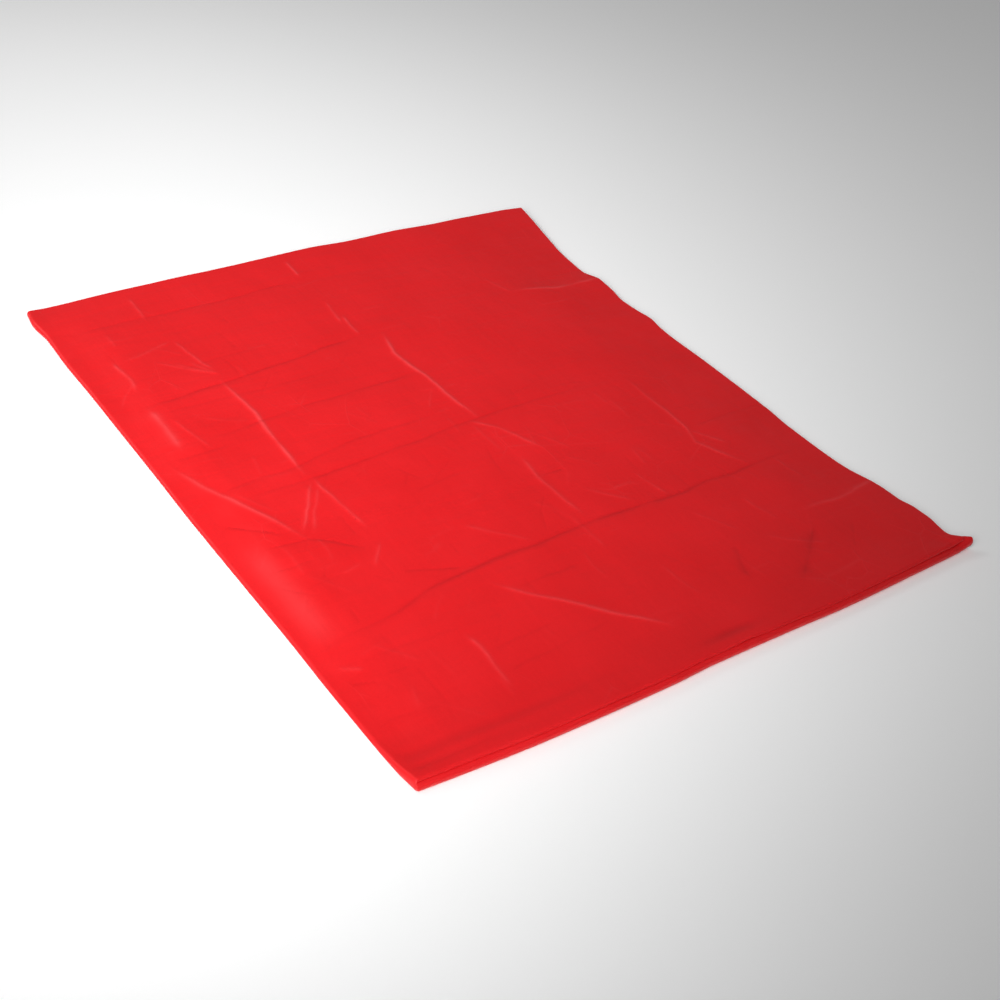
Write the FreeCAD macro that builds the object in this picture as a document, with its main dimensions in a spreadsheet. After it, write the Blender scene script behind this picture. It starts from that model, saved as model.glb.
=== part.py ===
"""Fire blanket: one sheet of coated cloth, folded in quarters and laid flat. Sizes are in millimetres.

The cloth is first folded in half along its length, which makes a rolled fold at the near edge (-Y).
It is then folded in half across its width, which makes a fold at the left edge (-X).
Four plies lie on each other. The lower two are the lower half of the stack, the upper two are the
upper half, and the upper half opens to the left about the left edge. The free edges of the plies
are at the right (+X) and at the far side (+Y).

The origin is the centre of the stack's footprint, on the face that it rests on, and +Z is up.
"""
import FreeCAD, Part
import math
import os
import Sketcher

CLOTH_SIZES = {
    "cloth_width": 1524.0,      # the flat cloth across X, 60 in
    "cloth_length": 1829.0,     # the flat cloth along Y, 72 in
    "cloth_thickness": 0.8,     # the cloth with its coating
    "lower_roll_height": 10.4,  # the lower near fold, over its outside: it is loose
    "upper_roll_height": 4.0,   # the upper near fold, over its outside: it is pressed flatter
    "half_gap": 0.4,            # air between the lower half and the upper half
}

# Radii are to the outside of each fold.
LOWER_ROLL_RADIUS = "(Sizes.lower_roll_height / 2)"
UPPER_ROLL_RADIUS = "(Sizes.upper_roll_height / 2)"
INNER_RADIUS = "(Sizes.cloth_thickness + Sizes.half_gap / 2)"
STACK_HEIGHT = "(Sizes.lower_roll_height + Sizes.half_gap + Sizes.upper_roll_height)"
OUTER_RADIUS = f"({STACK_HEIGHT} / 2)"

# The cloth that a fold doesn't use is shared by the two plies that it joins.
# The lower near fold is the larger one, and all four plies are cut to its length.
FOLD_USE = "(Sizes.{side} - pi * ({radius} - Sizes.cloth_thickness / 2)) / 2"
PLY_LENGTH = f"({FOLD_USE.format(side='cloth_length', radius=LOWER_ROLL_RADIUS)})"
INNER_PLY_WIDTH = f"({FOLD_USE.format(side='cloth_width', radius=INNER_RADIUS)})"
OUTER_PLY_WIDTH = f"({FOLD_USE.format(side='cloth_width', radius=OUTER_RADIUS)})"

# Where the flat plies begin, so that the stack's footprint is centred on the origin.
PLIES_LEFT = f"(({OUTER_RADIUS} - {INNER_PLY_WIDTH}) / 2)"
PLIES_NEAR = f"(({LOWER_ROLL_RADIUS} - {PLY_LENGTH}) / 2)"

# Height of the bottom face of each ply.
BOTTOM_PLY_HEIGHT = "0"
SECOND_PLY_HEIGHT = "(Sizes.lower_roll_height - Sizes.cloth_thickness)"
THIRD_PLY_HEIGHT = "(Sizes.lower_roll_height + Sizes.half_gap)"
TOP_PLY_HEIGHT = f"({STACK_HEIGHT} - Sizes.cloth_thickness)"

document = FreeCAD.newDocument("fire_blanket")


def make_sheet():
    """The spreadsheet of driving dimensions."""
    sheet = document.addObject("Spreadsheet::Sheet", "Sizes")
    for row, (alias, value) in enumerate(CLOTH_SIZES.items(), start=1):
        sheet.set(f"A{row}", alias)
        sheet.set(f"B{row}", str(value))
        sheet.setAlias(f"B{row}", alias)
    document.recompute()


def make_body(name):
    body = document.addObject("PartDesign::Body", name)
    body.Label = name
    return body


def make_sketch(body, role):
    """An empty sketch on one of the body's own origin planes."""
    sketch = body.newObject("Sketcher::SketchObject", f"{body.Name}_outline")
    plane = next(p for p in body.Origin.OriginFeatures if p.Role == role)
    sketch.AttachmentSupport = [(plane, "")]
    sketch.MapMode = "FlatFace"
    return sketch


def constrain(sketch, name, expression, *arguments):
    """Add a dimension to the sketch, under a name, and bind it to the spreadsheet."""
    index = sketch.addConstraint(Sketcher.Constraint(*arguments))
    sketch.renameConstraint(index, name)
    sketch.setExpression(f"Constraints.{name}", expression)


def join_ends(sketch, *pairs):
    """Make pairs of (geometry, end) coincide."""
    for first, second in pairs:
        sketch.addConstraint(Sketcher.Constraint("Coincident", *first, *second))


def place(body, x, y, z, quarter_turns=0):
    """Turn the body about Z, and bind its position to the spreadsheet."""
    body.Placement.Rotation = FreeCAD.Rotation(FreeCAD.Vector(0, 0, 1), 90 * quarter_turns)
    for axis, expression in zip("xyz", (x, y, z)):
        body.setExpression(f"Placement.Base.{axis}", expression)


def make_ply(name, width, height):
    """A flat quarter of the cloth, with its near left corner at the corner of the stack."""
    body = make_body(name)
    sketch = make_sketch(body, "XY_Plane")
    corners = [FreeCAD.Vector(*xy, 0) for xy in ((0, 0), (700, 0), (700, 900), (0, 900))]
    for start, end in zip(corners, corners[1:] + corners[:1]):
        sketch.addGeometry(Part.LineSegment(start, end), False)
    join_ends(sketch, *[((side, 2), ((side + 1) % 4, 1)) for side in range(4)])
    for kind, side in (("Horizontal", 0), ("Vertical", 1), ("Horizontal", 2), ("Vertical", 3)):
        sketch.addConstraint(Sketcher.Constraint(kind, side))
    join_ends(sketch, ((0, 1), (-1, 1)))
    constrain(sketch, "width", width, "DistanceX", 0, 1, 0, 2, 700)
    constrain(sketch, "length", PLY_LENGTH, "DistanceY", 1, 1, 1, 2, 900)
    pad = body.newObject("PartDesign::Pad", f"{name}_pad")
    pad.Profile = sketch
    pad.setExpression("Length", "Sizes.cloth_thickness")
    place(body, PLIES_LEFT, PLIES_NEAR, height)
    return body


def make_fold(name, radius, run, x, y, z, quarter_turns=0):
    """A half ring of cloth, bulging towards the body's -X and extruded along the body's +Y."""
    body = make_body(name)
    sketch = make_sketch(body, "XZ_Plane")
    normal = FreeCAD.Vector(0, 0, 1)
    half_turn = (math.pi / 2, 3 * math.pi / 2)
    for rough_radius in (4, 3):
        circle = Part.Circle(FreeCAD.Vector(0, 0, 0), normal, rough_radius)
        sketch.addGeometry(Part.ArcOfCircle(circle, *half_turn), False)
    for side in (1, -1):
        ends = FreeCAD.Vector(0, 4 * side, 0), FreeCAD.Vector(0, 3 * side, 0)
        sketch.addGeometry(Part.LineSegment(*ends), False)
    join_ends(
        sketch,
        ((0, 3), (-1, 1)), ((1, 3), (-1, 1)),
        ((0, 1), (2, 1)), ((1, 1), (2, 2)),
        ((0, 2), (3, 1)), ((1, 2), (3, 2)),
    )
    for side in (2, 3):
        sketch.addConstraint(Sketcher.Constraint("PointOnObject", side, 1, -2))
        sketch.addConstraint(Sketcher.Constraint("Vertical", side))
    constrain(sketch, "outside", radius, "Radius", 0, 4)
    constrain(sketch, "inside", f"{radius} - Sizes.cloth_thickness", "Radius", 1, 3)
    pad = body.newObject("PartDesign::Pad", f"{name}_pad")
    pad.Profile = sketch
    pad.Reversed = True
    pad.setExpression("Length", run)
    place(body, x, y, z, quarter_turns)
    return body


def make_near_fold(name, radius, height):
    """The rolled fold at the near edge of one half, as wide as that half's outer ply."""
    right_end = f"{PLIES_LEFT} + {OUTER_PLY_WIDTH}"
    return make_fold(name, radius, OUTER_PLY_WIDTH, right_end, PLIES_NEAR, f"{height} + {radius}", 1)


def make_left_fold(name, radius, height):
    """A fold at the left edge, which joins the lower half to the upper half."""
    return make_fold(name, radius, PLY_LENGTH, PLIES_LEFT, PLIES_NEAR, f"{height} + {radius}")


def check(parts):
    """Stop if anything in the document failed, or if a part's shape isn't a valid solid."""
    for thing in document.Objects:
        if {"Invalid", "Error"} & set(thing.State):
            raise RuntimeError(f"{thing.Label} didn't recompute: {thing.State}")
    for part in parts:
        if part.Shape.isNull() or not part.Shape.isValid() or len(part.Shape.Solids) != 1:
            raise RuntimeError(f"{part.Label} isn't one valid solid")


def main():
    make_sheet()
    parts = [
        make_ply("bottom_ply", OUTER_PLY_WIDTH, BOTTOM_PLY_HEIGHT),
        make_ply("second_ply", INNER_PLY_WIDTH, SECOND_PLY_HEIGHT),
        make_ply("third_ply", INNER_PLY_WIDTH, THIRD_PLY_HEIGHT),
        make_ply("top_ply", OUTER_PLY_WIDTH, TOP_PLY_HEIGHT),
        make_near_fold("lower_near_fold", LOWER_ROLL_RADIUS, BOTTOM_PLY_HEIGHT),
        make_near_fold("upper_near_fold", UPPER_ROLL_RADIUS, THIRD_PLY_HEIGHT),
        make_left_fold("inner_left_fold", INNER_RADIUS, SECOND_PLY_HEIGHT),
        make_left_fold("outer_left_fold", OUTER_RADIUS, BOTTOM_PLY_HEIGHT),
    ]
    document.recompute()
    check(parts)
    os.makedirs("parts", exist_ok=True)
    for part in parts:
        part.Shape.exportStep(f"parts/{part.Label}.step")
        box = part.Shape.BoundBox
        print(
            f"{part.Label:16} x {box.XMin:8.2f} {box.XMax:8.2f}  y {box.YMin:8.2f} {box.YMax:8.2f}"
            f"  z {box.ZMin:6.2f} {box.ZMax:6.2f}  volume {part.Shape.Volume:.0f} mm3"
        )


main()
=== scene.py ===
import math
import bpy
import numpy as np
from mathutils import Matrix, Vector


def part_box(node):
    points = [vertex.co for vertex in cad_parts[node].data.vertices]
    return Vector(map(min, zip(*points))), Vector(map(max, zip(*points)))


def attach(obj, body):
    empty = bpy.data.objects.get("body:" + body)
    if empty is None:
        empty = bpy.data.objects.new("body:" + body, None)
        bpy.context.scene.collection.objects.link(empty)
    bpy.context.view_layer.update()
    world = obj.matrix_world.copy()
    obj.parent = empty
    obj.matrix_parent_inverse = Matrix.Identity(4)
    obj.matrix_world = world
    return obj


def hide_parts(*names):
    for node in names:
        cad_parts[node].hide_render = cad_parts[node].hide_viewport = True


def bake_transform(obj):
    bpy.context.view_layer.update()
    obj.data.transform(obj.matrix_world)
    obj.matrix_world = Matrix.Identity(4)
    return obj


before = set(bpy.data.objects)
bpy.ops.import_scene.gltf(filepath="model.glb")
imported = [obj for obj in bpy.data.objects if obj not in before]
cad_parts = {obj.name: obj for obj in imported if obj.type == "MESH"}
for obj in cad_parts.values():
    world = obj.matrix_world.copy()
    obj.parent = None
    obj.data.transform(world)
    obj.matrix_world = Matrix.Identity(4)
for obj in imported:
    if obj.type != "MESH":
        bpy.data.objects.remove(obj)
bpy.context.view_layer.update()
MM = 0.001

# Where the frame has the folds and the free edges of the folded blanket.
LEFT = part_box("outer_left_fold")[0].x
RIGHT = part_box("second_ply")[1].x
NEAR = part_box("lower_near_fold")[0].y
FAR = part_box("bottom_ply")[1].y
WIDTH = RIGHT - LEFT
LENGTH = FAR - NEAR
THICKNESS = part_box("top_ply")[1].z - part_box("top_ply")[0].z
CUT_WIDTH = 1.524
CUT_LENGTH = 1.829

# Lists along an edge are (share of the edge, millimetres). Shares run from the left fold to the
# right edge, or from the far edge to the near fold.
LEFT_OUT = ((0, 1), (0.03, 4.5), (0.07, 1), (0.145, 3), (0.21, 2.5), (0.3, 3.2), (0.4, 3.8),
            (0.53, 5.4), (0.65, 5), (0.75, 4.6), (0.84, 5.4), (0.92, 5), (0.97, 4.5), (1, 2))
NEAR_OUT = ((0, 1.5), (0.07, 4.5), (0.19, 8), (0.3, 8.5), (0.39, 8), (0.47, 5.5), (0.62, 6),
            (0.7, 7), (0.88, 3.5), (1, 0.5))
FAR_OUT = ((0, -2), (0.1, -3), (0.3, -1), (0.45, 3), (0.53, 6), (0.6, 4.5), (0.7, 7), (0.8, 5),
           (0.95, 5), (1, 2))
RIGHT_OUT = ((0, 26), (0.04, 20), (0.075, 14), (0.11, 8), (0.145, 2), (0.18, -1), (0.215, -3),
             (0.25, 4), (0.285, 3), (0.315, -2), (0.35, -1), (0.38, 2), (0.41, -1), (0.53, 1),
             (0.65, -1), (0.7, -4), (0.76, -3.5), (0.79, -3), (0.815, -1), (0.84, 4), (0.87, 8),
             (0.895, 8), (0.92, 13), (0.945, 14), (0.965, 11), (0.985, 8.5), (1, 16))
RIGHT_HEIGHT = ((0, 14), (0.04, 12.5), (0.08, 11), (0.15, 9), (0.21, 8), (0.25, 10.5), (0.3, 8.5),
                (0.38, 9.5), (0.45, 8), (0.6, 8.5), (0.75, 8), (0.84, 9.5), (0.9, 11.5),
                (0.95, 12), (0.98, 12.5), (1, 15))
FAR_HEIGHT = ((0, 8), (0.06, 9.5), (0.12, 11.5), (0.2, 13), (0.3, 14), (0.5, 14.4), (1, 14))
LEFT_HEIGHT = ((0, 8), (0.03, 8.5), (0.08, 6.5), (0.15, 5.8), (0.93, 5.8), (0.97, 9), (1, 13))

# Creases as (height, width, points), in millimetres. A ridge has a height above 0, a valley below.
# Points are measured across from the left fold and down from the far edge.
CREASES = (
    # lengthwise
    (0.7, 4, ((125, 25), (120, 80))),
    (0.8, 5, ((45, 155), (45, 225))),
    (0.4, 4, ((60, 95), (60, 125))),
    (0.7, 4, ((135, 140), (135, 170), (150, 220))),
    (1.3, 5, ((145, 245), (150, 320), (145, 360), (145, 455))),
    (0.8, 5, ((150, 465), (155, 570))),
    (0.9, 5, ((155, 765), (155, 800), (150, 850))),
    (0.8, 4, ((355, 20), (355, 60))),
    (0.6, 4, ((360, 135), (355, 190))),
    (0.7, 4, ((365, 175), (360, 225))),
    (1.4, 5, ((390, 235), (380, 280), (385, 315), (390, 365), (395, 445))),
    (0.8, 5, ((380, 450), (405, 480), (430, 535))),
    (0.4, 4, ((380, 460), (380, 520))),
    (0.7, 5, ((395, 540), (390, 585), (395, 670))),
    (0.4, 4, ((380, 655), (380, 725))),
    (0.5, 4, ((505, 625), (515, 675))),
    (0.4, 4, ((535, 585), (530, 620))),
    (0.6, 4, ((610, 160), (625, 210))),
    (0.7, 5, ((630, 460), (630, 580), (620, 610), (655, 675))),
    (0.5, 4, ((630, 585), (660, 630))),
    (0.4, 5, ((515, 715), (545, 770))),
    (0.4, 5, ((595, 720), (600, 780))),
    (0.4, 5, ((560, 790), (620, 840))),
    # crosswise
    (-0.7, 5, ((25, 75), (360, 70))),
    (0.6, 4, ((60, 160), (130, 140))),
    (-0.4, 5, ((30, 210), (80, 205), (245, 190))),
    (-0.9, 5, ((40, 260), (150, 250), (265, 235), (365, 225))),
    (-0.4, 5, ((40, 280), (330, 280))),
    (-0.6, 5, ((80, 350), (225, 335), (385, 330))),
    (-0.6, 5, ((25, 370), (95, 370))),
    (-0.6, 5, ((25, 450), (140, 440), (240, 420), (350, 420))),
    (-0.7, 5, ((60, 470), (245, 460), (385, 450), (560, 445))),
    (-0.4, 5, ((240, 540), (315, 530))),
    (-0.8, 4, ((395, 585), (430, 585))),
    (-0.5, 5, ((640, 580), (780, 580))),
    (-1.0, 6, ((25, 720), (90, 710), (175, 685), (260, 680), (730, 680))),
    (-0.5, 5, ((250, 730), (340, 730))),
    (-0.4, 5, ((55, 755), (155, 750))),
    (-0.4, 5, ((160, 795), (255, 795))),
    (-0.4, 5, ((155, 830), (310, 820))),
    (0.8, 5, ((625, 210), (690, 225), (780, 225))),
    (0.7, 5, ((635, 775), (700, 780), (790, 775))),
    # diagonal
    (1.0, 5, ((15, 380), (40, 450), (90, 560))),
    (-0.7, 5, ((20, 500), (70, 545))),
    (-0.7, 5, ((40, 560), (90, 560), (135, 600))),
    (-0.7, 5, ((150, 650), (220, 675))),
    (0.5, 4, ((90, 175), (150, 230))),
    (0.5, 4, ((110, 185), (150, 230))),
    (0.5, 4, ((130, 190), (150, 230))),
    (0.7, 4, ((145, 470), (120, 505), (90, 550))),
    (0.5, 4, ((150, 480), (120, 520), (100, 555))),
    (0.7, 4, ((55, 295), (70, 365))),
    (1.0, 12, ((40, 265), (40, 355))),
    (0.4, 4, ((90, 310), (135, 335))),
    (0.6, 4, ((130, 630), (155, 600))),
    (0.4, 5, ((255, 615), (315, 675))),
    (0.4, 5, ((425, 625), (470, 670))),
    (0.8, 5, ((225, 710), (250, 740), (355, 860))),
    (-0.8, 14, ((515, 785), (490, 840))),
    (-0.8, 14, ((630, 805), (545, 865))),
    (0.5, 4, ((65, 805), (55, 835))),
    (0.5, 5, ((15, 750), (35, 765))),
    (-0.5, 4, ((15, 775), (40, 785))),
)

# Heights of the middle of each ply, in millimetres: at the left fold, in the panel and in the
# rolls of the near folds. In the panel, the second and third ply lie at shares of the top one's
# height. Plies are counted from the floor.
SECOND_SHARE = 0.5
THIRD_SHARE = 0.79
BOTTOM_HEIGHT = 0.55
PANEL_HEIGHT = 11.2
LEFT_SECOND = 2.4
LEFT_THIRD = 4.2
ROLL_SECOND = 9.9
ROLL_THIRD = 10.8
ROLL_TOP = 13.1

# Shares of the width or the length over which the cloth slopes to each edge, how straight two of
# the slopes are, and the share of the length that the near left corner takes up.
ROLL_SHARE = 0.065
LEFT_SLOPE = 0.08
LEFT_STRAIGHT = 0.4
RIGHT_SLOPE = 0.18
FAR_SLOPE = 0.085
FAR_STRAIGHT = 0.55
CORNER_SHARE = 0.06

# The near right corner curls up. Values are for the four plies from the floor up, in millimetres.
TIP_SHARE = 0.03
TIP_LIFT = (2.0, 5.5, 3.2, 2.4)

# How far the free edges of the four plies, from the floor up, lie inside the top one's, in
# millimetres, and how far each comes out again towards the near end and at the curled tip. The
# third ply also bulges out along one stretch. A stretch is the shares of an edge where it starts
# and ends, and the shares over which it fades in and out.
RIGHT_SET_BACK = (7, 5, 3, 0)
NEAR_END_OUT = (4, 3, 0, 0)
TIP_OUT = (12, 15, 0, 0)
NEAR_END_SHARE = 0.14
TIP_OUT_SHARE = 0.02
THIRD_BULGE = 4.2
THIRD_BULGE_STRETCH = (0.55, 0.86, 0.08, 0.06)
FAR_SET_BACK = (6, 4, 2, 0)

# The folds, in millimetres: how far they reach out from the line where the plies begin to turn,
# and how far one lies inside the other.
OUTER_LEFT_REACH = 4.6
INNER_LEFT_REACH = 1.5
INNER_LEFT_SET_BACK = 1.6
UPPER_NEAR_REACH = 3.2
LOWER_NEAR_REACH = 5.0
UPPER_NEAR_SET_BACK = 5.2
UPPER_NEAR_SAG = 0.9

# Puckers of the upper near fold, as (strength, share of the edge, half width as a share).
PUCKERS = ((1, 0.54, 0.028), (0.3, 0.3, 0.03))
PUCKER_BACK = 1.6
PUCKER_LIFT = 0.8

# The upper near fold wavers to and fro, as (reach, size, seed), in millimetres.
NEAR_WAVER = (0.7, 60, 21)

# Hollows beside the near fold: (depth, distance in from the fold, half width) in millimetres, then
# the stretch of the fold that each runs along, and how much painted shade its colour gets.
LONG_HOLLOWS = (
    (1.0, 30, 7, (0, 0.42, 0.02, 0.3), 0.35),
    (0.7, 12, 4, (0, 0.22, 0.02, 0.2), 0.3),
)
# The same for one short dent, but with the share of its middle and its half length.
SHORT_DENT = (1.6, 15, 6, (0.535, 0.045), 0.9)

# A band of painted sheen along the left fold: a paler red where the fold's slope catches the
# light.
PAINTED_SHEEN_MIDDLE = 0.035
PAINTED_SHEEN_HALF_WIDTH = 0.018
PAINTED_SHEEN_STRETCH = (0.58, 0.8, 0.06, 0.06)
PAINTED_SHEEN_AMOUNT = 0.5

# Unevenness as (height, size, seed), in millimetres, and the shares of it that each ply shows.
PANEL_BUMPS = ((0.9, 170, 11), (0.5, 85, 12), (0.28, 42, 13), (0.12, 20, 14), (0.05, 11, 15))
PLY_SHARES = (0.08, 0.45, 0.72, 1)
CALM_SHARE = 0.03

# Creases wander to each side of their straight runs and vary in height, as (amount, size, seed).
# Their profile falls off from a blunt middle, and they fade over a share of their length at both
# ends. Tall ones pull up the cloth beside them.
CREASE_WANDER = ((2.2, 38, 3), (0.7, 13, 5))
CREASE_UNEVEN = (0.4, 27, 7)
CREASE_NARROW = 0.42
CREASE_LOW = 0.6
CREASE_BLUNT = 0.5
CREASE_REACH = 7
CREASE_TAPER = 0.18
CREASE_AT_ENDS = 0.25
# Powers that sharpen the painted highlight on crease ridges and the painted shade in crease
# valleys.
PAINTED_HIGHLIGHT_POWER = 1.6
PAINTED_SHADE_POWER = 1.4
TALL_CREASE = 0.55
TALL_PULL = 0.32
TALL_PULL_WIDTH = 14
SMALL_CREASES = 170
SMALL_CREASE_WIDTH = 3.2
SMALL_CREASE_SEED = 31

# Steps of the surface's grid round a left fold and a near fold, across the two upper and the two
# lower plies, along the two outer and the two inner plies, and along the near left corner.
FOLD_STEPS = 24
ROLL_STEPS = 16
UPPER_STEPS = 400
LOWER_STEPS = 240
OUTER_STEPS = 470
INNER_STEPS = 210
CORNER_STEPS = 26
INNER_CORNER_STEPS = 10


def smooth(t):
    """Runs from 0 to 1 with flat ends."""
    t = np.clip(t, 0, 1)
    return t * t * (3 - 2 * t)


def hump(away, reach):
    """1 where away is 0, about a third where it is reach, and 0 far out."""
    return np.exp(-(away / reach) ** 2)


def stretch(at, first, last, fade_in, fade_out):
    """1 well inside the stretch from first to last, and 0 outside it."""
    return smooth((at - first) / fade_in) * smooth((last - at) / fade_out)


def ramp(t, straight):
    """Runs from 0 to 1, with flatter ends the less straight it is."""
    return straight * np.clip(t, 0, 1) + (1 - straight) * smooth(t)


def mix(a, b, share):
    return a + (b - a) * share


def curve(at, points):
    """A smooth line through the points, which are (place, value)."""
    places = np.array([p[0] for p in points], float)
    values = np.array([p[1] for p in points], float)
    steep = np.diff(values) / np.diff(places)
    same_way = steep[1:] * steep[:-1] > 0
    middle = 2 * steep[1:] * steep[:-1] / np.where(same_way, steep[1:] + steep[:-1], 1)
    slopes = np.concatenate([steep[:1], np.where(same_way, middle, 0), steep[-1:]])
    at = np.clip(at, places[0], places[-1])
    i = np.clip(np.searchsorted(places, at) - 1, 0, len(places) - 2)
    step = places[i + 1] - places[i]
    t = (at - places[i]) / step
    rise = values[i] * (1 + 2 * t) * (1 - t) ** 2 + values[i + 1] * t * t * (3 - 2 * t)
    return rise + step * t * (1 - t) * (slopes[i] * (1 - t) - slopes[i + 1] * t)


def rumple(x, y, size, seed):
    """Soft random bumps between -1 and 1, about size across."""
    cells = 96
    lattice = np.random.default_rng(seed).uniform(-1, 1, (cells, cells))
    turn = 0.6 + 0.37 * seed
    across = (x * math.cos(turn) + y * math.sin(turn)) / size + 40
    along = (y * math.cos(turn) - x * math.sin(turn)) / size + 40
    i = np.floor(across).astype(int)
    j = np.floor(along).astype(int)
    s = smooth(across - i)
    t = smooth(along - j)
    corners = [[lattice[(i + a) % cells, (j + b) % cells] for a in (0, 1)] for b in (0, 1)]
    return mix(mix(*corners[0], s), mix(*corners[1], s), t)


def crease_line(x, y, height, width, points):
    """Height of one crease at each place, in millimetres. It dies away at its two ends."""
    points = np.array(points, float)
    runs = np.hypot(*np.diff(points, axis=0).T)
    total = runs.sum()
    reach = CREASE_REACH * width
    low = points.min(0) - reach
    high = points.max(0) + reach
    found = (x > low[0]) & (x < high[0]) & (y > low[1]) & (y < high[1])
    px = x[found]
    py = y[found]
    best = np.full(px.shape, 1e9)
    share = np.zeros(px.shape)
    start = 0
    for (x0, y0), (x1, y1), run in zip(points[:-1], points[1:], runs):
        t = np.clip(((px - x0) * (x1 - x0) + (py - y0) * (y1 - y0)) / run ** 2, 0, 1)
        away = np.hypot(px - x0 - t * (x1 - x0), py - y0 - t * (y1 - y0))
        nearer = away < best
        best = np.where(nearer, away, best)
        share = np.where(nearer, (start + t * run) / total, share)
        start += run
    profile = np.exp(-(np.sqrt(best ** 2 + CREASE_BLUNT ** 2) - CREASE_BLUNT) / width)
    taper = smooth(share / CREASE_TAPER) * smooth((1 - share) / CREASE_TAPER)
    result = np.zeros(x.shape)
    result[found] = height * profile * mix(CREASE_AT_ENDS, 1, taper)
    result[found] *= smooth((reach - best) / width)
    return result


def small_creases(count, seed):
    """Short fine creases in the directions of the large ones, closer together near the left."""
    rng = np.random.default_rng(seed)
    directions = (0, 4, -4, 88, 93, 52, -48)
    made = []
    for _ in range(count):
        x = WIDTH / MM * (0.04 + 0.88 * rng.random() ** 1.5)
        y = LENGTH / MM * (0.04 + 0.9 * rng.random())
        angle = math.radians(directions[rng.integers(len(directions))] + rng.normal(0, 6))
        reach = 8 + 24 * rng.random()
        bend = 0.25 * reach * rng.normal()
        step_x, step_y = reach * math.cos(angle), reach * math.sin(angle)
        points = ((x - step_x, y - step_y), (x - 0.01 * step_y * bend, y + 0.01 * step_x * bend),
                  (x + step_x, y + step_y))
        height = rng.choice((-1, 1)) * (0.16 + 0.2 * rng.random())
        made.append((height, SMALL_CREASE_WIDTH, points))
    return made


def crease_field(x, y):
    """Height of all creases together, and how much painted highlight on ridges and painted shade
    in valleys each place gets from them.
    """
    height = np.zeros(x.shape)
    painted_highlight = np.zeros(x.shape)
    painted_shade = np.zeros(x.shape)
    wander_x, wander_y = x, y
    for reach, size, seed in CREASE_WANDER:
        wander_x = wander_x + reach * rumple(x, y, size, seed)
        wander_y = wander_y + reach * rumple(x, y, size, seed + 1)
    change, size, seed = CREASE_UNEVEN
    uneven = 1 + change * rumple(x, y, size, seed)
    for tall, width, points in CREASES + tuple(small_creases(SMALL_CREASES, SMALL_CREASE_SEED)):
        line = crease_line(wander_x, wander_y, tall, width * CREASE_NARROW, points) * uneven
        height += CREASE_LOW * line
        if abs(tall) > TALL_CREASE:
            height += crease_line(wander_x, wander_y, tall * TALL_PULL, TALL_PULL_WIDTH, points)
        # Ridges get a painted highlight, a paler red in the colour, and valleys get painted shade,
        # a darker red.
        painted_highlight = np.maximum(painted_highlight, np.clip(line, 0, None) ** PAINTED_HIGHLIGHT_POWER)
        painted_shade = np.maximum(painted_shade, np.clip(-line, 0, None) ** PAINTED_SHADE_POWER)
    return height, np.clip(painted_highlight, 0, 1), np.clip(painted_shade, 0, 1)


def near_hollows(u, v):
    """Depth in millimetres of the hollows beside the near fold, and how much painted shade each
    place gets.
    """
    inward = (1 - v) * LENGTH / MM
    depth, middle, half_width, (at, half_length), painted_light_mark = SHORT_DENT
    shape = hump(inward - middle, half_width) * hump(u - at, half_length)
    deep = depth * shape
    # The hollows' colour gets painted shade, a darker red.
    painted_shade = painted_light_mark * shape
    for depth, middle, half_width, along, painted_light_mark in LONG_HOLLOWS:
        shape = hump(inward - middle, half_width) * stretch(u, *along)
        deep = deep + depth * shape
        painted_shade = painted_shade + painted_light_mark * shape
    return deep, painted_shade


def cloth_heights(u, v):
    """Heights of the four plies in millimetres at each place, from the floor up, and how much
    painted highlight and painted shade the place gets. u runs from the left fold to the right edge
    and v from the far edge to the near fold."""
    x = u * WIDTH / MM
    y = v * LENGTH / MM
    roll = smooth((v - 1 + ROLL_SHARE) / ROLL_SHARE)
    far = ramp(1 - v / FAR_SLOPE, FAR_STRAIGHT)
    right = smooth((u - 1 + RIGHT_SLOPE) / RIGHT_SLOPE)
    top = mix(PANEL_HEIGHT, curve(u, FAR_HEIGHT), far)
    top = mix(top, ROLL_TOP, roll)
    top = mix(top, curve(v, RIGHT_HEIGHT), right)
    second = mix(top * SECOND_SHARE, ROLL_SECOND, roll)
    third = mix(top * THIRD_SHARE, ROLL_THIRD, roll)

    lines, painted_highlight, painted_shade = crease_field(x, y)
    calm = smooth(u / CALM_SHARE) * smooth((1 - v) / CALM_SHARE)
    hollow, hollow_painted_shade = near_hollows(u, v)
    # Painted sheen: a paler red band along the left fold.
    painted_sheen = hump(u - PAINTED_SHEEN_MIDDLE, PAINTED_SHEEN_HALF_WIDTH) * stretch(v, *PAINTED_SHEEN_STRETCH)
    painted_highlight = np.clip(painted_highlight * calm + PAINTED_SHEEN_AMOUNT * painted_sheen, 0, 1)
    painted_shade = np.maximum(painted_shade * calm, hollow_painted_shade)
    bumps = sum(height * rumple(x, y, size, seed) for height, size, seed in PANEL_BUMPS)
    change = (bumps + lines) * calm - hollow

    outer_slope = 1 - ramp(u / LEFT_SLOPE, LEFT_STRAIGHT)
    inner_slope = 1 - smooth(u / LEFT_SLOPE)
    corner = np.clip((v - 1 + CORNER_SHARE) / CORNER_SHARE, 0, 1)
    plies = (BOTTOM_HEIGHT,
             mix(second, mix(LEFT_SECOND, ROLL_SECOND, corner), inner_slope),
             mix(third, mix(LEFT_THIRD, ROLL_THIRD, corner), inner_slope),
             mix(top, curve(v, LEFT_HEIGHT), outer_slope))
    tip = smooth((u - 1 + TIP_SHARE) / TIP_SHARE) * smooth((v - 1 + TIP_SHARE) / TIP_SHARE)
    plies = [ply + change * share + tip * lift
             for ply, share, lift in zip(plies, PLY_SHARES, TIP_LIFT)]
    return plies, painted_highlight, painted_shade


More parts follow.
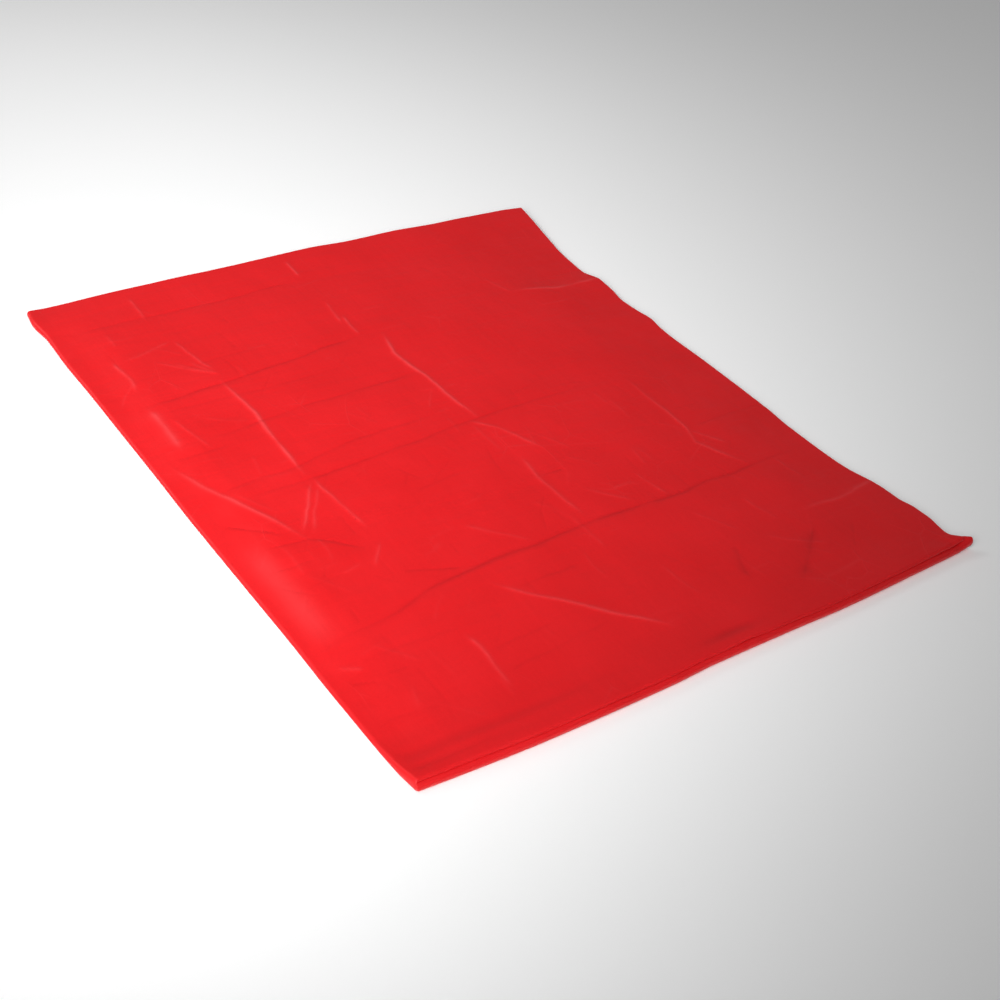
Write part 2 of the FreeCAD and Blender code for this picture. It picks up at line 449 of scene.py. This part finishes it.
def right_edges(v):
    """How far the right edges of the four plies lie past RIGHT, in millimetres."""
    near_end = smooth((v - 1 + NEAR_END_SHARE) / NEAR_END_SHARE)
    tip = smooth((v - 1 + TIP_OUT_SHARE) / TIP_OUT_SHARE)
    top = curve(v, RIGHT_OUT)
    edges = [top - back + end * near_end + past * tip
             for back, end, past in zip(RIGHT_SET_BACK, NEAR_END_OUT, TIP_OUT)]
    edges[2] = edges[2] + THIRD_BULGE * stretch(v, *THIRD_BULGE_STRETCH)
    return edges


def over_plies(values, inner, low):
    """Joins four values, one for each ply from the floor up, through the folds between them."""
    bottom, second, third, top = values
    return mix(mix(top, third, inner), mix(bottom, second, inner), low)


def cloth(t, across, s, along):
    """The middle of the cloth. t runs from the left fold to the free right edge and s from the
    near fold to the free far edge. across is -1 in the upper half and 1 in the lower half, along
    is -1 in the two outer plies and 1 in the two inner ones, and both run between in the folds."""
    u = t
    v = 1 - s
    low = (1 + across) / 2
    inner = (1 + along) / 2
    round_left = np.sqrt(np.clip(1 - across ** 2, 0, 1))
    round_near = np.sqrt(np.clip(1 - along ** 2, 0, 1))
    plies, painted_highlight, painted_shade = cloth_heights(u, v)

    # Across: the left fold, and the free right edge of each ply.
    left_line = LEFT - curve(v, LEFT_OUT) * MM + inner * INNER_LEFT_SET_BACK * MM
    left_reach = mix(OUTER_LEFT_REACH, INNER_LEFT_REACH, inner) * MM
    start = left_line + left_reach
    out = over_plies(right_edges(v), inner, low)
    x = start - left_reach * round_left + t * (RIGHT + out * MM - start)

    # Along: the near fold, and the free far edge of each ply.
    pucker = sum(strength * hump(u - at, half) for strength, at, half in PUCKERS)
    set_back = UPPER_NEAR_SET_BACK + PUCKER_BACK * pucker
    reach, size, seed = NEAR_WAVER
    set_back = set_back + reach * rumple(u * WIDTH / MM, 0 * u, size, seed)
    near_line = NEAR - curve(u, NEAR_OUT) * MM + (1 - low) * set_back * MM
    near_reach = mix(UPPER_NEAR_REACH, LOWER_NEAR_REACH, low) * MM
    begin = near_line + near_reach
    far_edge = curve(u, FAR_OUT) - over_plies(FAR_SET_BACK, inner, low)
    y = begin - near_reach * round_near + s * (FAR + far_edge * MM - begin)

    # Up: the plies, with the upper near fold sagging towards the roll below it.
    sagged = inner + UPPER_NEAR_SAG * inner * (1 - inner)
    z = mix(mix(plies[3], plies[2], sagged), mix(plies[0], plies[1], inner), low)
    z = z + PUCKER_LIFT * pucker * (1 - low) * round_near
    return np.stack([x, y, z * MM], -1), painted_highlight, painted_shade


def steps(count, corner_count):
    """Shares from the free edge, 1, to the fold, 0, with one at the corner's limit."""
    main = np.linspace(1, CORNER_SHARE, count - corner_count + 1)
    return np.concatenate([main, np.linspace(CORNER_SHARE, 0, corner_count + 1)[1:]])


def turns(count):
    """Sines of the angles of a half turn, without its two ends."""
    return np.sin(np.linspace(-math.pi / 2, math.pi / 2, count + 1))[1:-1]


upper_t = np.linspace(1, 0, UPPER_STEPS + 1)
lower_t = np.linspace(0, 1, LOWER_STEPS + 1)
outer_s = steps(OUTER_STEPS, CORNER_STEPS)
inner_s = steps(INNER_STEPS, INNER_CORNER_STEPS)[::-1]
fold = turns(FOLD_STEPS)
roll = turns(ROLL_STEPS)
T = np.concatenate([upper_t, 0 * fold, lower_t])
ACROSS = np.concatenate([0 * upper_t - 1, fold, 0 * lower_t + 1])
S = np.concatenate([outer_s, 0 * roll, inner_s])
ALONG = np.concatenate([0 * outer_s - 1, roll, 0 * inner_s + 1])

# Rows and columns of the whole cloth at which it is divided into pieces.
FOLD_START = UPPER_STEPS - 2
FOLD_END = UPPER_STEPS + FOLD_STEPS + 2
CORNER_START = OUTER_STEPS - CORNER_STEPS
CORNER_END = OUTER_STEPS + ROLL_STEPS + INNER_CORNER_STEPS
LAST_COLUMN = len(T) - 1
LAST_ROW = len(S) - 1

grid = np.meshgrid(T, S, indexing="ij")
grid_across = np.meshgrid(ACROSS, S, indexing="ij")[0]
grid_along = np.meshgrid(T, ALONG, indexing="ij")[1]
PLACE, PAINTED_HIGHLIGHT, PAINTED_SHADE = cloth(grid[0], grid_across, grid[1], grid_along)


def unit(vectors):
    return vectors / np.maximum(np.linalg.norm(vectors, axis=-1, keepdims=True), 1e-12)


def slopes_along(places, axis):
    """Direction from each place's neighbour before it to the one after it."""
    forward = unit(np.diff(places, axis=axis))
    first = np.take(forward, [0], axis)
    last = np.take(forward, [-1], axis)
    return np.concatenate([first, forward], axis) + np.concatenate([forward, last], axis)


NORMAL = unit(np.cross(slopes_along(PLACE, 0), slopes_along(PLACE, 1)))

# Where each place lies in the flat cloth, for the weave. A fold takes up two half arcs of it.
HALF_ARC = 6 * MM
FLAT_ACROSS = ACROSS * HALF_ARC + np.sign(ACROSS) * T * CUT_WIDTH / 2
FLAT_ALONG = ALONG * HALF_ARC + np.sign(ALONG) * S * CUT_LENGTH / 2


def closed_faces(wide, long):
    """Faces of a closed sheet over a grid of wide by long points: front, back and rim. The points
    of the back come after those of the front."""
    count = wide * long
    index = np.arange(count).reshape(wide, long)
    front = np.stack([index[:-1, :-1], index[1:, :-1], index[1:, 1:], index[:-1, 1:]], -1)
    front = front.reshape(-1, 4)
    back = front[:, ::-1] + count
    loop = np.concatenate([index[:-1, 0], index[-1, :-1], index[:0:-1, -1], index[0, :0:-1]])
    after = np.roll(loop, -1)
    rim = np.stack([after, loop, loop + count, after + count], -1)
    return front, back, rim


def make_piece(name, columns, rows):
    """A closed sheet of the cloth's thickness over the given columns and rows of the cloth."""
    i = np.arange(columns[0], columns[1] + 1)
    j = np.arange(rows[0], rows[1] + 1)
    places = PLACE[np.ix_(i, j)]
    normals = NORMAL[np.ix_(i, j)]
    half = THICKNESS / 2
    points = np.concatenate([(places + normals * half).reshape(-1, 3),
                             (places - normals * half).reshape(-1, 3)])
    front, back, rim = closed_faces(len(i), len(j))
    faces = np.concatenate([front, back, rim])
    shown = len(front) + len(back)

    mesh = bpy.data.meshes.new(name)
    mesh.vertices.add(len(points))
    mesh.vertices.foreach_set("co", points.astype(np.float32).ravel())
    mesh.loops.add(faces.size)
    mesh.loops.foreach_set("vertex_index", faces.astype(np.int32).ravel())
    mesh.polygons.add(len(faces))
    mesh.polygons.foreach_set("loop_start", np.arange(0, faces.size, 4, dtype=np.int32))
    mesh.update(calc_edges=True)
    smooth_faces = np.ones(len(faces), bool)
    smooth_faces[shown:] = False
    mesh.polygons.foreach_set("use_smooth", smooth_faces)

    flat = np.stack(np.meshgrid(FLAT_ACROSS[i], FLAT_ALONG[j], indexing="ij"), -1).reshape(-1, 2)
    flat = np.concatenate([flat, flat])
    layer = mesh.uv_layers.new(name="flat_cloth")
    layer.data.foreach_set("uv", flat[faces.ravel()].astype(np.float32).ravel())
    # The painted highlight and the painted shade go on the points, for the coat's colour.
    for label, values in (("painted_highlight", PAINTED_HIGHLIGHT), ("painted_shade", PAINTED_SHADE)):
        painted_light_mark = mesh.attributes.new(label, "FLOAT", "POINT")
        there = values[np.ix_(i, j)].ravel()
        painted_light_mark.data.foreach_set("value", np.concatenate([there, there]).astype(np.float32))
    mesh.validate()

    corner_normals = np.zeros((faces.size, 3))
    sides = np.concatenate([normals.reshape(-1, 3), -normals.reshape(-1, 3)])
    corner_normals[:shown * 4] = sides[faces[:shown].ravel()]
    mesh.normals_split_custom_set(corner_normals.tolist())

    piece = bpy.data.objects.new(name, mesh)
    bpy.context.scene.collection.objects.link(piece)
    piece.data.materials.append(coated_cloth)
    return piece


# Colours of the coat, linear: darker and lighter mottling, a paler red painted as highlight on
# ridges and crumple lines, and a darker red painted as shade in valleys and hollows.
DARKER_RED = (0.745, 0.009, 0.012, 1)
LIGHTER_RED = (0.80, 0.011, 0.015, 1)
PAINTED_HIGHLIGHT_RED = (0.90, 0.12, 0.13, 1)
PAINTED_SHADE_RED = (0.36, 0.005, 0.008, 1)
PAINTED_HIGHLIGHT_AMOUNT = 0.30
PAINTED_SHADE_AMOUNT = 0.38
SPECK_AMOUNT = 0.10
CRUMPLE_HIGHLIGHT_AMOUNT = 0.06

# Scales of the mottling, the specks, the patches of more or less gloss, and the weave.
MOTTLE_SCALE = 9.0
SPECK_SCALE = 420.0
PATCH_SCALE = 34.0
WEAVE_SCALE = 190.0
ROUGHNESS = (0.36, 0.50)

# Crumple lines and wrinkles bend to and fro with a slow sway, in metres.
SWAY_SCALE = 9.0
SWAY = 0.02
# Crumple lines as (scale, width, the noise above which they show).
CRUMPLES = ((10.0, 0.012, 0.54), (24.0, 0.026, 0.58))
# Fine wrinkles as (scale along x, y and z, shift, depth in metres): crosswise, then lengthwise.
WRINKLES = (((5, 60, 0), 0.0, 0.0018), ((70, 9, 0), 3.0, 0.0008))
# Crinkles all over as (scale, depth in metres).
CRINKLES = ((55.0, 0.0006), (160.0, 0.00016))
WEAVE_DEPTH = 0.00006
CRUMPLE_DEPTH = 0.0003
WEAVE_STRENGTH = 0.25
CRUMPLE_STRENGTH = 0.4
WRINKLE_STRENGTH = 0.4
CRINKLE_STRENGTH = 0.13


def node(tree, kind, inputs, **properties):
    """Adds a shader node. Each input is an output to link to it, or a constant."""
    made = tree.nodes.new(kind)
    for name, value in properties.items():
        setattr(made, name, value)
    for name, value in inputs.items():
        if isinstance(value, bpy.types.NodeSocket):
            tree.links.new(value, made.inputs[name])
        else:
            made.inputs[name].default_value = value
    return made


def noise(tree, vector, scale, detail):
    return node(tree, "ShaderNodeTexNoise", {"Vector": vector, "Scale": scale, "Detail": detail})


def calculate(tree, operation, first, second):
    made = node(tree, "ShaderNodeMath", {0: first, 1: second}, operation=operation)
    return made.outputs["Value"]


def blend_colour(tree, amount, first, second, blend_type="MIX"):
    made = node(tree, "ShaderNodeMix", {"Factor": amount, "A": first, "B": second},
                data_type="RGBA", blend_type=blend_type)
    return made.outputs["Result"]


def remap(tree, value, start, end, to_start=0.0, to_end=1.0):
    inputs = {"Value": value, "From Min": start, "From Max": end, "To Min": to_start,
              "To Max": to_end}
    return node(tree, "ShaderNodeMapRange", inputs).outputs["Result"]


def bump(tree, height, strength, depth, below=None):
    """Relief from a height, on top of the relief below it."""
    inputs = {"Height": height, "Strength": strength, "Distance": depth}
    if below is not None:
        inputs["Normal"] = below
    return node(tree, "ShaderNodeBump", inputs).outputs["Normal"]


def coat_colour(tree, place, crumples):
    """Slow mottling, fine specks, a paler red painted as highlight along crease ridges, the left
    fold's sheen band and crumple lines, and a darker red painted as shade in crease valleys and
    hollows.
    """
    slow = noise(tree, place, MOTTLE_SCALE, 5.0)
    speck = noise(tree, place, SPECK_SCALE, 2.0)
    mottling = node(tree, "ShaderNodeValToRGB", {"Fac": slow.outputs["Fac"]})
    darker, lighter = mottling.color_ramp.elements
    darker.position = 0.3
    darker.color = DARKER_RED
    lighter.position = 0.7
    lighter.color = LIGHTER_RED
    colour = blend_colour(tree, SPECK_AMOUNT, mottling.outputs["Color"], speck.outputs["Fac"],
                          "MULTIPLY")
    # A paler red painted as highlight on ridges, and a darker red painted as shade in valleys and
    # hollows.
    for label, share, shade in (("painted_highlight", PAINTED_HIGHLIGHT_AMOUNT, PAINTED_HIGHLIGHT_RED),
                                ("painted_shade", PAINTED_SHADE_AMOUNT, PAINTED_SHADE_RED)):
        painted_light_mark = node(tree, "ShaderNodeAttribute", {}, attribute_name=label)
        amount = calculate(tree, "MULTIPLY", painted_light_mark.outputs["Fac"], share)
        colour = blend_colour(tree, amount, colour, shade)
    # A paler red painted as highlight along the crumple lines.
    crumple_highlight = calculate(tree, "MULTIPLY", crumples, CRUMPLE_HIGHLIGHT_AMOUNT)
    return blend_colour(tree, crumple_highlight, colour, PAINTED_HIGHLIGHT_RED)


def crumple_lines(tree, place, bent):
    """Edges of large and small facets, seen only in some places."""
    long_way = node(tree, "ShaderNodeMapping", {"Vector": bent, "Scale": (1, 0.7, 0)})
    kinds = []
    for scale, width, seen in CRUMPLES:
        facets = node(tree, "ShaderNodeTexVoronoi",
                      {"Vector": long_way.outputs["Vector"], "Scale": scale},
                      feature="DISTANCE_TO_EDGE")
        edge = remap(tree, facets.outputs["Distance"], 0, width, 1, 0)
        some = noise(tree, place, 0.6 * scale, 2.0)
        shown = remap(tree, some.outputs["Fac"], seen, seen + 0.15)
        kinds.append(calculate(tree, "MULTIPLY", edge, shown))
    return calculate(tree, "MAXIMUM", *kinds)


def weave_height(tree, flat):
    """Warp and weft: two crossed sets of threads."""
    threads = []
    for turn in (0, math.pi / 2):
        rotated = node(tree, "ShaderNodeMapping", {"Vector": flat, "Rotation": (0, 0, turn)})
        thread = node(tree, "ShaderNodeTexWave",
                      {"Vector": rotated.outputs["Vector"], "Scale": WEAVE_SCALE})
        threads.append(thread.outputs["Fac"])
    return calculate(tree, "MULTIPLY", *threads)


def cloth_relief(tree, flat, place, bent, crumples):
    """The weave under the coat, then crumple lines, fine parallel wrinkles and crinkles."""
    relief = bump(tree, weave_height(tree, flat), WEAVE_STRENGTH, WEAVE_DEPTH)
    relief = bump(tree, crumples, CRUMPLE_STRENGTH, CRUMPLE_DEPTH, relief)
    for scale, shift, depth in WRINKLES:
        streaks = node(tree, "ShaderNodeMapping",
                       {"Vector": bent, "Scale": scale, "Location": (shift, shift, 0)})
        streak = noise(tree, streaks.outputs["Vector"], 1.0, 2.0)
        relief = bump(tree, streak.outputs["Fac"], WRINKLE_STRENGTH, depth, relief)
    for scale, depth in CRINKLES:
        crinkle = noise(tree, place, scale, 3.0)
        relief = bump(tree, crinkle.outputs["Fac"], CRINKLE_STRENGTH, depth, relief)
    return relief


def make_coated_cloth():
    """Red coated glass cloth: satin coat, faint weave under it, mottling, a painted highlight on
    crease ridges and painted shade in crease valleys.
    """
    material = bpy.data.materials.new("coated_cloth")
    material.use_nodes = True
    tree = material.node_tree
    tree.nodes.clear()
    flat = node(tree, "ShaderNodeUVMap", {}, uv_map="flat_cloth").outputs["UV"]
    place = node(tree, "ShaderNodeTexCoord", {}).outputs["Object"]
    sway = noise(tree, place, SWAY_SCALE, 4.0)
    bent = node(tree, "ShaderNodeVectorMath",
                {0: sway.outputs["Color"], 1: (SWAY, SWAY, 0), 2: place},
                operation="MULTIPLY_ADD").outputs["Vector"]
    crumples = crumple_lines(tree, place, bent)
    patches = noise(tree, place, PATCH_SCALE, 6.0)
    shader = node(tree, "ShaderNodeBsdfPrincipled", {
        "Base Color": coat_colour(tree, place, crumples),
        "Roughness": remap(tree, patches.outputs["Fac"], 0.3, 0.7, *ROUGHNESS),
        "Specular IOR Level": 0.3,
        "Normal": cloth_relief(tree, flat, place, bent, crumples),
    })
    node(tree, "ShaderNodeOutputMaterial", {"Surface": shader.outputs["BSDF"]})
    return material


coated_cloth = make_coated_cloth()
lower = make_piece("lower_half_cloth", (FOLD_END, LAST_COLUMN), (0, LAST_ROW))
upper = make_piece("upper_half_cloth", (0, FOLD_START), (0, LAST_ROW))
outer_fold = make_piece("outer_left_fold_cloth", (FOLD_START, FOLD_END), (0, CORNER_START))
inner_fold = make_piece("inner_left_fold_cloth", (FOLD_START, FOLD_END), (CORNER_END, LAST_ROW))
corner = make_piece("near_left_corner_cloth", (FOLD_START, FOLD_END), (CORNER_START, CORNER_END))

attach(lower, "lower_half")
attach(upper, "upper_half")
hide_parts("bottom_ply", "second_ply", "lower_near_fold")
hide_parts("third_ply", "top_ply", "upper_near_fold")
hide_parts("outer_left_fold")
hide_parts("inner_left_fold")

# The left folds and the near left corner keep the places they were built at.
for piece in (outer_fold, inner_fold):
    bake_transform(piece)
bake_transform(corner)


def make_floor():
    """A plain pale floor."""
    mesh = bpy.data.meshes.new("floor")
    side = 6.0
    mesh.from_pydata([(-side, -side, 0), (side, -side, 0), (side, side, 0), (-side, side, 0)], [],
                     [(0, 1, 2, 3)])
    floor = bpy.data.objects.new("floor", mesh)
    bpy.context.scene.collection.objects.link(floor)
    material = bpy.data.materials.new("floor")
    material.use_nodes = True
    shader = material.node_tree.nodes["Principled BSDF"]
    shader.inputs["Base Color"].default_value = (0.93, 0.93, 0.93, 1)
    shader.inputs["Roughness"].default_value = 0.9
    shader.inputs["Specular IOR Level"].default_value = 0.1
    shader.inputs["Emission Color"].default_value = (1, 1, 1, 1)
    shader.inputs["Emission Strength"].default_value = 0.12
    mesh.materials.append(material)


def aim(thing, place, target, roll=0):
    """Puts a camera or lamp at place, looking at target, with its picture turned by roll."""
    back = (Vector(place) - Vector(target)).normalized()
    side = Vector((0, 0, 1)).cross(back).normalized()
    up = back.cross(side)
    turned_side = side * math.cos(roll) + up * math.sin(roll)
    turned_up = up * math.cos(roll) - side * math.sin(roll)
    turn = Matrix((turned_side, turned_up, back)).transposed()
    thing.matrix_world = Matrix.Translation(place) @ turn.to_4x4()


def make_lamp(name, place, target, size, power, spread):
    """A soft lamp. Its grid lets light out at up to half of spread degrees from its middle."""
    light = bpy.data.lights.new(name, "AREA")
    light.shape = "RECTANGLE"
    light.size, light.size_y = size
    light.energy = power
    light.spread = math.radians(spread)
    lamp = bpy.data.objects.new(name, light)
    bpy.context.scene.collection.objects.link(lamp)
    aim(lamp, place, target)


def make_camera():
    azimuth = math.radians(-41.81)
    elevation = math.radians(36.49)
    roll = math.radians(9.91)
    distance = 1.740
    target = Vector((-0.0524, -0.1281, 0))
    back = Vector((math.sin(azimuth) * math.cos(elevation),
                   -math.cos(azimuth) * math.cos(elevation), math.sin(elevation)))
    data = bpy.data.cameras.new("camera")
    data.sensor_width = 36
    data.lens = 53.8
    camera = bpy.data.objects.new("camera", data)
    bpy.context.scene.collection.objects.link(camera)
    aim(camera, target + back * distance, target, roll)
    bpy.context.scene.camera = camera


# Lamps as (name, place, target, size, watts, spread in degrees).
LAMPS = (
    ("key", (-1.1, -0.7, 1.0), (0, 0.48, 0), (0.9, 0.9), 9.1, 80),
    ("back", (-1.0, 1.6, 1.5), (0.5, 0.6, 0), (0.9, 0.6), 4.2, 94),
    ("front", (-1.6, -1.2, 1.2), (-0.3, -0.2, 0), (1.0, 0.8), 3.7, 180),
)

make_floor()
make_camera()
for lamp in LAMPS:
    make_lamp(*lamp)
world = bpy.data.worlds.new("studio")
world.use_nodes = True
world.node_tree.nodes["Background"].inputs["Color"].default_value = (1, 1, 1, 1)
world.node_tree.nodes["Background"].inputs["Strength"].default_value = 0.175
bpy.context.scene.world = world
bpy.context.scene.view_settings.view_transform = "Standard"
